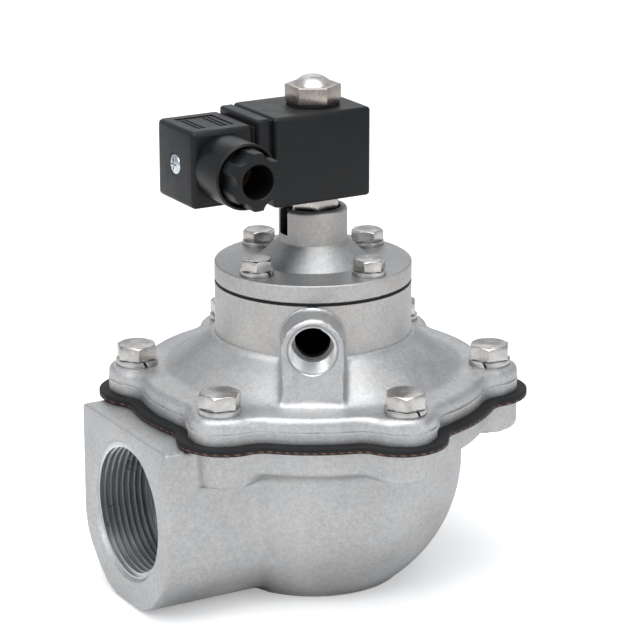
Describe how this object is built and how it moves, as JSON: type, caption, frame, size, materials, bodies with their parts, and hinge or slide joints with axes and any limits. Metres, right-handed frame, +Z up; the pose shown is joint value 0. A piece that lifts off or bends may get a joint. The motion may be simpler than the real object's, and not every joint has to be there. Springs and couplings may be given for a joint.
{
  "type": "pulse valve",
  "caption": "Right-angle diaphragm pulse valve with a lobed bolted cover, a diaphragm pilot stage and a solenoid with a square cable connector.",
  "frame": {"origin": "centre of the outlet port at the flat outlet face under the bowl", "axes": "+Z up the diaphragm axis, the inlet points along -X, the exhaust port lies at 240 degrees from +X about +Z"},
  "size_m": [0.1432, 0.153, 0.1808],
  "materials": {
    "cast_aluminium": "bead-blasted casting",
    "machined_aluminium": "fine turned, satin",
    "stainless_steel": "satin stainless",
    "spring_steel": "drawn wire",
    "nickel_steel": "warm nickel plate",
    "diaphragm_rubber": "matt black nitrile, fabric reinforced",
    "seal_rubber": "matt black",
    "brown_rubber": "matt brown",
    "black_plastic": "fine-textured moulding",
    "grey_plastic": "moulded",
    "brass": "turned",
    "zinc_steel": "bright zinc plate"
  },
  "bodies": {
    "valve": {"valve_body": "cast_aluminium", "main_diaphragm": "diaphragm_rubber", "main_spring": "spring_steel", "main_cover": "cast_aluminium", "cover_bolts": "stainless_steel", "cover_spring_washers": "stainless_steel", "pilot_diaphragm": "diaphragm_rubber", "pilot_spring": "spring_steel", "pilot_cap": "machined_aluminium", "cap_bolts": "stainless_steel", "cap_spring_washers": "stainless_steel", "armature_tube": "nickel_steel", "tube_seal": "seal_rubber", "fixed_core": "nickel_steel", "plunger_spring": "spring_steel", "coil_nut": "nickel_steel", "nut_ring": "seal_rubber"},
    "main_closure": {"diaphragm_top_plate": "stainless_steel", "diaphragm_bottom_disc": "stainless_steel", "diaphragm_screw": "stainless_steel", "diaphragm_washer": "stainless_steel", "diaphragm_nut": "stainless_steel"},
    "pilot_closure": {"pilot_plate": "stainless_steel", "pilot_rivet": "brass"},
    "plunger": {"plunger": "nickel_steel", "plunger_seal": "seal_rubber"},
    "coil": {"coil_housing": "black_plastic", "terminal_blades": "brass", "connector_gasket": "seal_rubber", "connector_housing": "black_plastic", "contact_block": "grey_plastic", "connector_screw": "zinc_steel", "gland_nut": "black_plastic", "gland_washer": "brass", "gland_grommet": "brown_rubber"}
  },
  "joints": [
    {"name": "main_diaphragm_lift", "type": "slide", "parent": "valve", "child": "main_closure", "axis": [0, 0, 1], "range_m": [0, 0.009], "stiffness_N_per_m": 2000, "springref_m": -0.006, "deforming": ["main_spring", "main_diaphragm"]},
    {"name": "pilot_diaphragm_lift", "type": "slide", "parent": "valve", "child": "pilot_closure", "axis": [0, 0, 1], "range_m": [0, 0.0025], "stiffness_N_per_m": 800, "springref_m": -0.003, "deforming": ["pilot_spring", "pilot_diaphragm"]},
    {"name": "plunger_lift", "type": "slide", "parent": "valve", "child": "plunger", "axis": [0, 0, 1], "range_m": [0, 0.0016], "stiffness_N_per_m": 500, "springref_m": -0.004, "deforming": ["plunger_spring"]},
    {"name": "coil_swivel", "type": "hinge", "parent": "valve", "child": "coil", "pos_m": [0, 0, 0.139], "axis": [0, 0, 1], "continuous": true}
  ]
}
